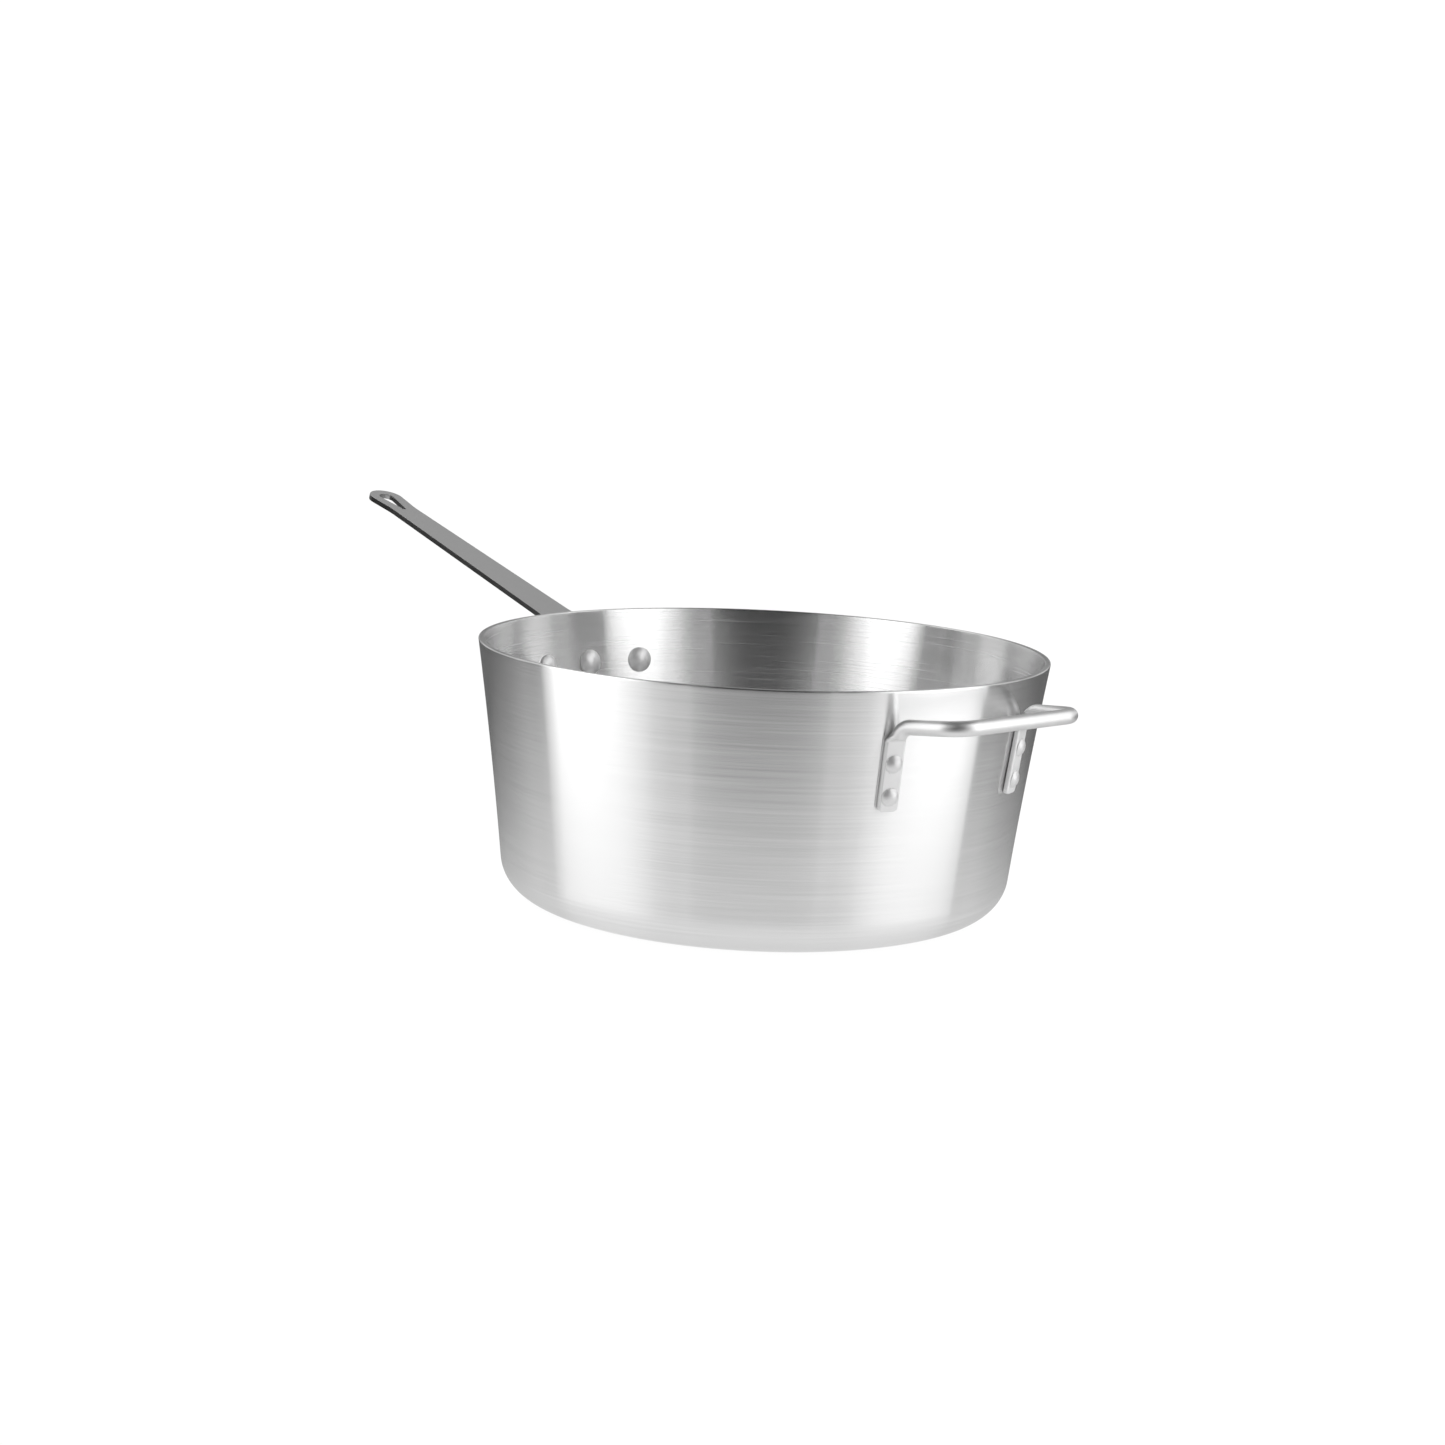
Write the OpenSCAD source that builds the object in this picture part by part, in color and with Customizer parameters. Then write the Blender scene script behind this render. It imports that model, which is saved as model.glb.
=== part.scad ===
// Tapered aluminium cooking pot with one long strip handle and one short rod
// handle opposite it, both riveted on. The origin is the centre of the underside
// of the floor, +Z is up, -X points along the long handle and +X along the rod
// handle. Left and right are those of a cook who holds the long handle and looks
// along +X, so left is +Y.

/* [Pot] */
// Outside diameter at the rim
rim_d = 318; // [280:1:360]
// Height from the underside to the rim
pot_h = 143; // [136:1:170]
// Diameter at which the line of the wall would meet the underside
base_d = 282; // [250:1:290]
// Thickness of the sheet that the pot is pressed from
wall_t = 3; // [2:0.1:4]
// Outside radius of the bend between floor and wall
corner_r = 22; // [14:1:30]
// How far the wall bows inwards between floor and rim
wall_bow = 0.85; // [0.5:0.05:2]

/* [Long handle] */
// Thickness of the steel strip
strip_t = 3.2; // [2.5:0.1:4]
// Slope of the strip above the horizontal
strip_slope = 16.7; // [10:0.1:25]
// Inside radius of the bend between strip and saddle
strip_bend_r = 6; // [4:0.5:8]
// Height at which the line of the strip's top face would meet the wall
strip_z = 129.7; // [128:0.1:132]
// Length of the straight strip, from the bend to its tip
strip_l = 225.6; // [150:0.1:280]
// Width of the strip where it leaves the bend
root_w = 32; // [28:1:36]
// Width of the strip where its root flare ends
strip_w = 24.6; // [20:0.1:28]
// Width of the strip at the neck before its rounded end
neck_w = 18.4; // [16:0.1:20]
// Width of the rounded end
tip_w = 22.6; // [21:0.1:24]
// Width of the hanging hole at its round end
hang_w = 9.8; // [8:0.1:11]
// Length of the hanging hole
hang_l = 26.9; // [20:0.1:30]
// Height of the saddle that lies against the wall
saddle_h = 24; // [22:1:26]

/* [Long handle rivets] */
// Height of the three rivets above the underside
grip_rivet_z = 111.8; // [108:0.1:113]
// Angle round the pot from one rivet to the next
grip_rivet_pitch = 13.6; // [12:0.1:16]
// Shank diameter
grip_shank_d = 8; // [6:0.1:8]
// Diameter of the domed head inside the pot
grip_head_d = 15.2; // [14:0.1:16]
// Diameter of the domed head outside, on the saddle
grip_tail_d = 13; // [12:0.1:15]

/* [Rod handle] */
// Diameter of the rod
rod_d = 8; // [7:0.1:9]
// Reach of the cross bar's centre line from the wall
rod_reach = 33.2; // [28:0.1:45]
// Distance between the points where the legs' and the cross bar's centre lines meet
bar_l = 90.6; // [84:0.1:100]
// Height of the loop's centre line at the wall
loop_z = 125.6; // [122:0.1:127]
// Rise of the loop from the wall to the cross bar
loop_rise = 3.6; // [0:0.1:6]
// Centre line radius of the two bends in the loop
loop_bend_r = 13; // [10:0.5:18]
// Centre line radius of the bend from tab to leg
leg_bend_r = 9; // [8:0.5:10]
// Distance between the centre lines of the two flattened tabs
tab_pitch = 94.1; // [90:0.1:100]
// Width of a tab
tab_w = 11.4; // [10:0.1:12]
// Thickness of a tab
tab_t = 3; // [2.5:0.1:3.5]
// Radius of the corners at a tab's lower end
tab_corner_r = 2.4; // [1:0.1:5]
// Length of the tab below its lower rivet
tab_tail = 8; // [6:0.1:10]

/* [Rod handle rivets] */
// Height of the upper rivets above the underside
upper_rivet_z = 105.7; // [103:0.1:107]
// Height of the lower rivets above the underside
lower_rivet_z = 88.3; // [86:0.1:90]
// Shank diameter
tab_shank_d = 5; // [4:0.1:5]
// Diameter of the domed heads on both sides
tab_head_d = 9.6; // [8:0.1:10]

/* [Hidden] */

pot_colour = "gainsboro";
rod_colour = "whitesmoke";
rivet_colour = "silver";
strip_colour = "dimgray";

LEFT = 1;
RIGHT = -1;

seat_gap = 0.05;    // clearance between two pieces that are clamped together
shank_gap = 0.03;   // clearance of a shank in its hole, on the radius
dome_ratio = 0.26;  // height of a domed head over its diameter
dome_edge = 0.04;   // height of the head's straight edge over its diameter
lap = 0.02;         // overlap where two shapes are joined into one piece
far = 500;          // beyond every piece
drill_l = 40;       // longer than any stack of wall, strip and tab
round_fn = 128;
rod_fn = 64;
bow_fn = 3600;      // keeps the wall's very large arc true

rim_r = rim_d / 2;
base_r = base_d / 2;
rod_r = rod_d / 2;

// The wall's outer face is an arc that bulges towards the pot's axis. Its centre
// (bow_x, bow_z) lies outside the pot.
wall_chord = norm([rim_r - base_r, pot_h]);
taper = atan((rim_r - base_r) / pot_h);
bow_r = (pow(wall_chord / 2, 2) + pow(wall_bow, 2)) / (2 * wall_bow);
bow_x = (rim_r + base_r) / 2 + (bow_r - wall_bow) * cos(taper);
bow_z = pot_h / 2 - (bow_r - wall_bow) * sin(taper);

// Outside radius of the wall at a height, and how far the wall leans outwards there
function wall_r(z) = bow_x - sqrt(pow(bow_r, 2) - pow(z - bow_z, 2));
function wall_lean(z) = asin((z - bow_z) / bow_r);

// The bend between floor and wall touches the floor plane and the wall's arc
corner_x = bow_x - sqrt(pow(bow_r + corner_r, 2) - pow(corner_r - bow_z, 2));
corner_lean = asin((corner_r - bow_z) / (bow_r + corner_r));

// Moves its children onto the wall: their +X leaves the pot at right angles to the
// wall and their +Z runs up the wall
module on_wall(angle, z) {
    rotate([0, 0, angle])
        translate([wall_r(z), 0, z])
            rotate([0, wall_lean(z), 0])
                children();
}

module drill(angle, z, d) {
    on_wall(angle, z)
        rotate([0, 90, 0])
            cylinder(d = d, h = drill_l, center = true, $fn = round_fn);
}

module ring(inner_r, outer_r, fn) {
    difference() {
        circle(r = outer_r, $fn = fn);
        circle(r = inner_r, $fn = fn);
    }
}

// Section of a layer that follows the wall's face, from one distance outside that
// face to another. A negative distance lies in the wall.
module wall_layer(from, to) {
    translate([bow_x, bow_z]) ring(bow_r - to, bow_r - from, bow_fn);
}

// ---------------------------------------------------------------- pot

module pot_section() {
    tangent = [cos(corner_lean), -sin(corner_lean)];
    corner = [corner_x, corner_r];
    intersection() {
        wall_layer(-wall_t, 0);
        polygon([corner, corner + far * tangent, [far, pot_h], [corner_x, pot_h]]);
    }
    intersection() {
        translate(corner) ring(corner_r - wall_t, corner_r, round_fn);
        polygon([corner, [corner_x, -far], [far, -far], corner + far * tangent]);
    }
    square([corner_x, wall_t]);
}

module pot_body() {
    color(pot_colour)
        difference() {
            rotate_extrude($fn = round_fn) pot_section();
            handle_holes();
            for (side = [LEFT, RIGHT]) helper_holes(side);
        }
}

// ---------------------------------------------------------------- rivets

// Half section of a domed head that stands on the line y = 0
module dome_section(d) {
    edge_h = d * dome_edge;
    cap_h = d * (dome_ratio - dome_edge);
    cap_r = (pow(d / 2, 2) + pow(cap_h, 2)) / (2 * cap_h);
    square([d / 2, edge_h]);
    intersection() {
        translate([0, edge_h + cap_h - cap_r]) circle(r = cap_r, $fn = round_fn);
        translate([0, edge_h - lap]) square([d / 2, d]);
    }
}

// A rivet through the wall and through a layer of metal outside it. A flat head
// inside the pot's hollow side rests on its edge, so it sits a little off the wall.
module rivet(angle, z, shank_d, layer_t, head_d, tail_d) {
    edge_rise = pow(head_d / 2, 2) / (2 * (wall_r(z) - wall_t));
    head_x = -wall_t - edge_rise - seat_gap;
    tail_x = layer_t + seat_gap;
    color(rivet_colour)
        on_wall(angle, z)
            rotate([0, 90, 0])
                rotate_extrude($fn = rod_fn) {
                    translate([0, head_x]) mirror([0, 1]) dome_section(head_d);
                    translate([0, head_x - lap])
                        square([shank_d / 2 - shank_gap, tail_x - head_x + 2 * lap]);
                    translate([0, tail_x]) dome_section(tail_d);
                }
}

function handle_rivet_angle(side) = 180 - side * grip_rivet_pitch;

module handle_rivet(side) {
    rivet(handle_rivet_angle(side), grip_rivet_z, grip_shank_d, seat_gap + strip_t,
          grip_head_d, grip_tail_d);
}

module handle_holes() {
    for (side = [LEFT, 0, RIGHT])
        drill(handle_rivet_angle(side), grip_rivet_z, grip_shank_d);
}

module helper_rivet(side, z) {
    rivet(side * tab_angle, z, tab_shank_d, tab_gap + tab_t, tab_head_d, tab_head_d);
}

module helper_holes(side) {
    for (z = [upper_rivet_z, lower_rivet_z]) drill(side * tab_angle, z, tab_shank_d);
}

// ---------------------------------------------------------------- long handle

root_flare_l = 24;      // length of the flare next to the bend
flare_l = 20;           // from the neck to the centre of the rounded end
tip_margin = 6.4;       // metal between the hanging hole and the tip
hang_narrow_r = 1.3;    // radius of the hanging hole's narrow end
tail_l = 6;             // length over which the bend runs down into the saddle

// Angle of the bend, its outside radius and the length of wall that it takes up
strip_turn = 90 - wall_lean(strip_z) - strip_slope;
bend_outer_r = strip_bend_r + strip_t;
bend_run = bend_outer_r * tan(strip_turn / 2);

// Outline of two circles on the X axis with the straight tangents that join them
module tangent_pair(x1, r1, x2, r2) {
    lean = asin((r1 - r2) / (x2 - x1));
    side = [sin(lean), cos(lean)];
    mirrored = [side[0], -side[1]];
    translate([x1, 0]) circle(r = r1, $fn = round_fn);
    translate([x2, 0]) circle(r = r2, $fn = round_fn);
    polygon([[x1, 0] + r1 * side, [x2, 0] + r2 * side,
             [x2, 0] + r2 * mirrored, [x1, 0] + r1 * mirrored]);
}

module hang_hole() {
    hang_r = hang_w / 2;
    end = strip_l - tip_margin;
    tangent_pair(end - hang_l + hang_narrow_r, hang_narrow_r, end - hang_r, hang_r);
}

// Outline of the straight strip: x = 0 at the bend, the tip at x = strip_l
module strip_outline() {
    tip_r = tip_w / 2;
    tip_x = strip_l - tip_r;
    neck_x = tip_x - flare_l;
    // Where a line from the edge of the neck touches the rounded end
    neck_edge = [-flare_l, neck_w / 2];
    touch_angle = atan2(neck_edge[1], neck_edge[0]) - acos(tip_r / norm(neck_edge));
    touch = tip_r * [cos(touch_angle), sin(touch_angle)];
    half = [[-lap, root_w / 2], [root_flare_l, strip_w / 2], [neck_x, neck_w / 2],
            [tip_x + touch[0], touch[1]]];
    difference() {
        union() {
            for (s = [1, -1]) polygon([[-lap, 0], for (p = half) [p[0], s * p[1]], [tip_x, 0]]);
            translate([tip_x, 0]) circle(r = tip_r, $fn = round_fn);
        }
        hang_hole();
    }
}

// Part of a tube: from the X axis through an angle, as long as `length` along Z
module bend_sector(inner_r, outer_r, angle, length) {
    reach = 2 * outer_r;
    linear_extrude(length)
        intersection() {
            ring(inner_r, outer_r, round_fn);
            polygon([[0, 0], [reach, 0], [reach, reach * tan(angle / 2)],
                     reach * [cos(angle), sin(angle)]]);
        }
}

// The strip, its bend and the tail of the bend. The origin is where the lines of the
// wall and of the strip's top face meet, and +X leads away from the pot.
module strip_and_bend() {
    wall_slope = 90 - wall_lean(strip_z);
    rotate([0, -strip_slope, 0])
        translate([bend_run, 0, -strip_t])
            linear_extrude(strip_t) strip_outline();
    rotate([0, -wall_slope, 0])
        translate([-bend_run, 0, 0]) {
            translate([-tail_l, -root_w / 2, -strip_t]) cube([tail_l + lap, root_w, strip_t]);
            rotate([90, 0, 0])
                translate([0, -bend_outer_r, -root_w / 2])
                    rotate([0, 0, 90 - strip_turn])
                        bend_sector(strip_bend_r, bend_outer_r, strip_turn, root_w);
        }
}

module saddle_outline() {
    half = wall_r(grip_rivet_z) * sin(grip_rivet_pitch);
    square([2 * half, saddle_h], center = true);
    for (side = [LEFT, RIGHT]) translate([side * half, 0]) circle(d = saddle_h, $fn = round_fn);
}

// The saddle: the part of a band round the pot that lies within its outline
module saddle() {
    intersection() {
        rotate_extrude($fn = round_fn)
            intersection() {
                wall_layer(seat_gap, seat_gap + strip_t);
                translate([0, grip_rivet_z - saddle_h]) square([far, 2 * saddle_h]);
            }
        on_wall(180, grip_rivet_z)
            rotate([90, 0, 90])
                linear_extrude(2 * drill_l, center = true) saddle_outline();
    }
}

module long_handle() {
    color(strip_colour)
        difference() {
            union() {
                saddle();
                rotate([0, 0, 180])
                    translate([wall_r(strip_z) + seat_gap, 0, strip_z])
                        strip_and_bend();
            }
            handle_holes();
        }
}

// ---------------------------------------------------------------- helper handle

// A straight tab touches the bowed wall near its ends only, so it is set off the
// wall by more than the bow over its length
tab_gap = 0.15;
tab_z = (upper_rivet_z + lower_rivet_z) / 2;
tab_angle = asin(tab_pitch / 2 / wall_r(tab_z));
tab_half = (upper_rivet_z - lower_rivet_z) / 2 / cos(wall_lean(tab_z));
tab_low = -tab_half - tab_tail;

// A point given on the wall at a tab: distance off the wall and distance up the wall
function at_tab(side, off, up) =
    let (lean = wall_lean(tab_z),
         r = wall_r(tab_z) + off * cos(lean) + up * sin(lean),
         z = tab_z - off * sin(lean) + up * cos(lean),
         angle = side * tab_angle)
    [r * cos(angle), r * sin(angle), z];

function unit(v) = v / norm(v);

bend_step = 0.12;   // a corner of the rod is this much thinner, on the radius, than its straight lengths
bend_cover = 0.5;   // length of a corner that its neighbours cover
flatten_l = 2;      // length over which the round rod is flattened into the tab
flat_step = 0.06;   // the flattened length stands this far inside the tab's faces

// Height of the loop's centre line at a distance from the pot's axis
loop_slope = loop_rise / rod_reach;
loop_x = wall_r(loop_z);
function loop_height(x) = loop_z + loop_slope * (x - loop_x);

// How far up the tab its centre line reaches the loop's plane
leg_off = tab_gap + rod_r;
leg_foot = at_tab(LEFT, leg_off, 0);
leg_rise = at_tab(LEFT, leg_off, 1) - leg_foot;
leg_up = (loop_height(leg_foot[0]) - leg_foot[2]) / (leg_rise[2] - loop_slope * leg_rise[0]);

bar_x = loop_x + rod_reach;
bar_z = loop_height(bar_x);

// One leg's centre line: up the tab, round its knee and out to the bar
leg_knee = at_tab(LEFT, leg_off, leg_up);
leg_trim = corner_trim(leg_foot, leg_knee, [bar_x, bar_l / 2, bar_z], leg_bend_r);
tab_high = leg_up - leg_trim - flatten_l;

// Places its children with +X along one direction and +Y towards another
module aim(origin, x_axis, towards) {
    z_axis = unit(cross(x_axis, towards));
    y_axis = cross(z_axis, x_axis);
    multmatrix([for (i = [0:2]) [x_axis[i], y_axis[i], z_axis[i], origin[i]]])
        children();
}

// Length that a rounded corner takes from each of the two lines that meet in it
function corner_trim(before, corner, after, r) =
    let (turn = acos(unit(corner - before) * unit(after - corner)))
    r * tan(turn / 2);

// The rounded corner of a rod whose centre line runs from one point to another
// round a corner
module rod_corner(before, corner, after, r) {
    from = unit(corner - before);
    to = unit(after - corner);
    aim(corner - from * corner_trim(before, corner, after, r), from, to)
        translate([0, r, 0])
            rotate([0, 0, -90])
                rotate_extrude(angle = acos(from * to), $fn = rod_fn)
                    translate([r, 0]) circle(r = rod_r - bend_step, $fn = rod_fn);
}

// A straight rod between two points. Its ends are cut back, but cover a little of
// the corners that follow.
module rod_between(start, end, start_trim, end_trim) {
    dir = unit(end - start);
    length = norm(end - start) - start_trim - end_trim + 2 * bend_cover;
    aim(start + dir * (start_trim - bend_cover), dir, [0, 0, 1])
        rotate([0, 90, 0])
            cylinder(r = rod_r, h = length, $fn = rod_fn);
}

// Tab: +X off the wall, +Z up the wall
module tab_plate() {
    low = tab_low + tab_corner_r;
    rotate([90, 0, 90])
        linear_extrude(tab_t) {
            translate([-tab_w / 2, low]) square([tab_w, tab_high - low]);
            translate([tab_corner_r - tab_w / 2, tab_low])
                square([tab_w - 2 * tab_corner_r, tab_corner_r + lap]);
            for (s = [1, -1])
                translate([s * (tab_w / 2 - tab_corner_r), low])
                    circle(r = tab_corner_r, $fn = round_fn);
        }
}

// One end of the handle: half of the loop's leg, the bend down to the tab and the
// length over which the round rod is flattened
module helper_end(side) {
    foot = at_tab(side, leg_off, 0);
    knee = at_tab(side, leg_off, leg_up);
    bar_end = [bar_x, side * bar_l / 2, bar_z];
    bar_mid = [bar_x, 0, bar_z];
    loop_trim = corner_trim(knee, bar_end, bar_mid, loop_bend_r);

    rod_corner(foot, knee, bar_end, leg_bend_r);
    rod_between(knee, bar_end, leg_trim, loop_trim);
    rod_corner(knee, bar_end, bar_mid, loop_bend_r);
    rod_between(bar_end, bar_mid, loop_trim, 0);

    on_wall(side * tab_angle, tab_z)
        translate([tab_gap, 0, 0]) {
            tab_plate();
            hull() {
                translate([rod_r, 0, leg_up - leg_trim])
                    cylinder(r = rod_r, h = bend_cover, $fn = rod_fn / 2);
                translate([flat_step, flat_step - tab_w / 2, tab_high - bend_cover])
                    cube([tab_t - 2 * flat_step, tab_w - 2 * flat_step, bend_cover]);
            }
        }
}

module helper_handle() {
    color(rod_colour)
        difference() {
            union() for (side = [LEFT, RIGHT]) helper_end(side);
            for (side = [LEFT, RIGHT]) helper_holes(side);
        }
}

// ---------------------------------------------------------------- nodes

pot_body();
long_handle();
handle_rivet(LEFT);  // handle_rivet_left
handle_rivet(0);  // handle_rivet_centre
handle_rivet(RIGHT);  // handle_rivet_right
helper_handle();
helper_rivet(LEFT, upper_rivet_z);  // helper_rivet_left_upper
helper_rivet(LEFT, lower_rivet_z);  // helper_rivet_left_lower
helper_rivet(RIGHT, upper_rivet_z);  // helper_rivet_right_upper
helper_rivet(RIGHT, lower_rivet_z);  // helper_rivet_right_lower
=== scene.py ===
"""Looks of a tapered aluminium cooking pot with a riveted strip handle and a riveted rod handle.

Lengths are in millimetres until a mesh is made. The pot stands on the origin, its long handle
points along -X and its helper handle along +X.
"""

import math

import bmesh
import bpy
from mathutils import Matrix, Vector, noise
from mathutils.geometry import delaunay_2d_cdt


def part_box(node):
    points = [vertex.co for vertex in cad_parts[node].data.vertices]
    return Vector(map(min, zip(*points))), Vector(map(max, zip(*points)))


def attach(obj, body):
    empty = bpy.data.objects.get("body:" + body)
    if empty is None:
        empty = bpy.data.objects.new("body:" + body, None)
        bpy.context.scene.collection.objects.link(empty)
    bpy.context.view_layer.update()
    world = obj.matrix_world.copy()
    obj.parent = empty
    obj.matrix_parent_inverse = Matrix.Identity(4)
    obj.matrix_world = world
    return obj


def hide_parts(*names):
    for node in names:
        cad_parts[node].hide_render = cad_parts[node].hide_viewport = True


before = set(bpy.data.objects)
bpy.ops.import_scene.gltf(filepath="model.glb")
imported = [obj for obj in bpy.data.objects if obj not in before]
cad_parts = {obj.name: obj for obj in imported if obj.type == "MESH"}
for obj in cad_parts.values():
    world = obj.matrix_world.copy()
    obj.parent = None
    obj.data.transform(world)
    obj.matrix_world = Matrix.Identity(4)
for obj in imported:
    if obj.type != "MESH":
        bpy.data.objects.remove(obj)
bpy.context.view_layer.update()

MM = 0.001

# ---------------------------------------------------------------- sizes from the frame


def cad_points(node):
    return [v.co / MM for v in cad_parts[node].data.vertices]


def cad_box_mm(node):
    low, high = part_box(node)
    return Vector(low) / MM, Vector(high) / MM


POT_H = cad_box_mm("pot_body")[1].z
RIM_R = max(math.hypot(p.x, p.y) for p in cad_points("pot_body"))

# ---------------------------------------------------------------- pot dimensions

WALL_T = 3.0
WALL_BOW = 0.85  # how far the wall bows inwards
BASE_R = 141.0  # where the wall's line meets the floor's plane
CORNER_R = 22.0  # outside radius of the bend between floor and wall
RIM_ROUND = 0.75  # radius of the rim's two worn edges
POT_SEGMENTS = 480
FLOOR_ROWS = 8
BEND_ROWS = 20
WALL_ROWS = 64

# The wall's outer face is an arc round a centre outside the pot
_chord = math.hypot(RIM_R - BASE_R, POT_H)
_taper = math.atan((RIM_R - BASE_R) / POT_H)
BOW_R = ((_chord / 2) ** 2 + WALL_BOW**2) / (2 * WALL_BOW)
BOW_X = (RIM_R + BASE_R) / 2 + (BOW_R - WALL_BOW) * math.cos(_taper)
BOW_Z = POT_H / 2 - (BOW_R - WALL_BOW) * math.sin(_taper)
CORNER_X = BOW_X - math.sqrt((BOW_R + CORNER_R) ** 2 - (CORNER_R - BOW_Z) ** 2)
CORNER_LEAN = math.asin((CORNER_R - BOW_Z) / (BOW_R + CORNER_R))


def wall_r(z):
    """Outside radius of the wall at a height."""
    return BOW_X - math.sqrt(BOW_R**2 - (z - BOW_Z) ** 2)


def wall_lean(z):
    """How far the wall leans outwards at a height."""
    return math.asin((z - BOW_Z) / BOW_R)


# ---------------------------------------------------------------- rivets and holes

HANDLE_RIVETS = ("handle_rivet_left", "handle_rivet_centre", "handle_rivet_right")
HELPER_RIVETS = (
    "helper_rivet_left_upper",
    "helper_rivet_left_lower",
    "helper_rivet_right_upper",
    "helper_rivet_right_lower",
)
HANDLE_SHANK_D = 8.0
HANDLE_HEAD_D = 15.2  # the heads inside the pot
HANDLE_TAIL_D = 13.0  # the heads outside, on the saddle
HELPER_SHANK_D = 5.0
HELPER_HEAD_D = 9.6

GRIP_RIVET_Z = 111.8  # where the long handle's rivets cross the wall's outer face
GRIP_RIVET_PITCH = math.radians(13.6)
TAB_PITCH = 94.1  # between the helper handle's two tabs
UPPER_RIVET_Z = 105.7
LOWER_RIVET_Z = 88.3
TAB_ANGLE = math.asin(TAB_PITCH / 2 / wall_r((UPPER_RIVET_Z + LOWER_RIVET_Z) / 2))
RIVET_PLACES = {  # angle round the pot from +X, height
    "handle_rivet_left": (math.pi - GRIP_RIVET_PITCH, GRIP_RIVET_Z),
    "handle_rivet_centre": (math.pi, GRIP_RIVET_Z),
    "handle_rivet_right": (math.pi + GRIP_RIVET_PITCH, GRIP_RIVET_Z),
    "helper_rivet_left_upper": (TAB_ANGLE, UPPER_RIVET_Z),
    "helper_rivet_left_lower": (TAB_ANGLE, LOWER_RIVET_Z),
    "helper_rivet_right_upper": (-TAB_ANGLE, UPPER_RIVET_Z),
    "helper_rivet_right_lower": (-TAB_ANGLE, LOWER_RIVET_Z),
}


def rivet_axis(node):
    """Where a rivet's axis crosses the wall's outer face, and the axis's outward direction."""
    angle, z = RIVET_PLACES[node]
    lean = wall_lean(z)
    out = Vector((math.cos(angle) * math.cos(lean), math.sin(angle) * math.cos(lean), -math.sin(lean)))
    return Vector((wall_r(z) * math.cos(angle), wall_r(z) * math.sin(angle), z)), out


# ---------------------------------------------------------------- long handle dimensions

STRIP_T = 3.2
STRIP_SLOPE = math.radians(16.7)
STRIP_BEND_R = 6.0  # inside radius of the bend
STRIP_Z = 129.7  # height at which the line of the strip's top face would meet the wall
ROOT_W = 32.0
STRIP_W = 24.6
NECK_W = 18.4
TIP_W = 22.6
ROOT_FLARE_L = 24.0
ROOT_R = 30.0  # radii of the outline's soft corners, from the root to the neck
FLARE_R = 60.0
NECK_R = 40.0
NECK_L = 20.0  # from the neck to the centre of the rounded end
TIP_MARGIN = 6.4  # metal between the hanging hole and the tip
HANG_W = 9.8
HANG_L = 26.9
HANG_NARROW_R = 1.3
SADDLE_H = 24.0
SADDLE_FILLET = 5.0
SEAT_GAP = 0.05

# ---------------------------------------------------------------- helper handle dimensions

ROD_R = 4.0
TAB_GAP = 0.15
TAB_W = 11.4
TAB_T = 3.0
TAB_CORNER_R = 2.4
TAB_TAIL = 8.0
LOOP_RISE = 3.6
LOOP_Z = 125.6
LOOP_REACH = 33.2
BAR_HALF = 45.3
LOOP_BEND_R = 13.0
LEG_BEND_R = 9.0

# ---------------------------------------------------------------- mesh helpers

SLIVER = 0.02  # points closer than this become one
DRILL_SEGMENTS = 64
WALL_DRILL_L = 14.0  # half of it lies outside the wall's outer face
TAB_DRILL_L = 20.0


def new_piece(name, points, faces, sharp_degrees=35):
    """A smooth-shaded mesh object from points in millimetres."""
    mesh = bpy.data.meshes.new(name)
    mesh.from_pydata([Vector(p) * MM for p in points], [], faces)
    mesh.validate()
    mesh.shade_smooth()
    mesh.set_sharp_from_angle(angle=math.radians(sharp_degrees))
    piece = bpy.data.objects.new(name, mesh)
    bpy.context.scene.collection.objects.link(piece)
    return piece


def weigh_normals(piece):
    """Lets the large flat faces decide the shading beside a rounded edge."""
    weigh = piece.modifiers.new("normals", "WEIGHTED_NORMAL")
    weigh.keep_sharp = True


def finish_piece(piece, material, slot, *nodes):
    """Gives a piece its material and its place in the frame."""
    piece.data.materials.clear()
    piece.data.materials.append(material)
    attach(piece, "root")
    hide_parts(*nodes)


def ease(t):
    """A smooth step from 0 to 1 as t goes from 0 to 1."""
    t = min(max(t, 0), 1)
    return t * t * (3 - 2 * t)


def arc(cx, cy, r, start, end, steps):
    """Points on an arc, angles in degrees, both ends included."""
    angles = [math.radians(start + (end - start) * i / steps) for i in range(steps + 1)]
    return [(cx + r * math.cos(a), cy + r * math.sin(a)) for a in angles]


def rounded(corners, closed=True, degrees_a_step=7.5):
    """An outline from corners (x, y, radius), each rounded to its radius."""
    out = []
    count = len(corners)
    for i, (x, y, r) in enumerate(corners):
        here = Vector((x, y))
        if r <= 0 or (not closed and i in (0, count - 1)):
            out.append(here)
            continue
        before = Vector(corners[i - 1][:2]) - here
        after = Vector(corners[(i + 1) % count][:2]) - here
        before.normalize()
        after.normalize()
        turn = math.pi - before.angle(after)
        trim = r * math.tan(turn / 2)
        middle = here + (before + after).normalized() * (r / math.cos(turn / 2))
        start = here + before * trim - middle
        side = 1 if before.x * after.y - before.y * after.x < 0 else -1
        steps = max(1, round(math.degrees(turn) / degrees_a_step))
        for k in range(steps + 1):
            out.append(middle + Matrix.Rotation(side * turn * k / steps, 2) @ start)
    return out


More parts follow.
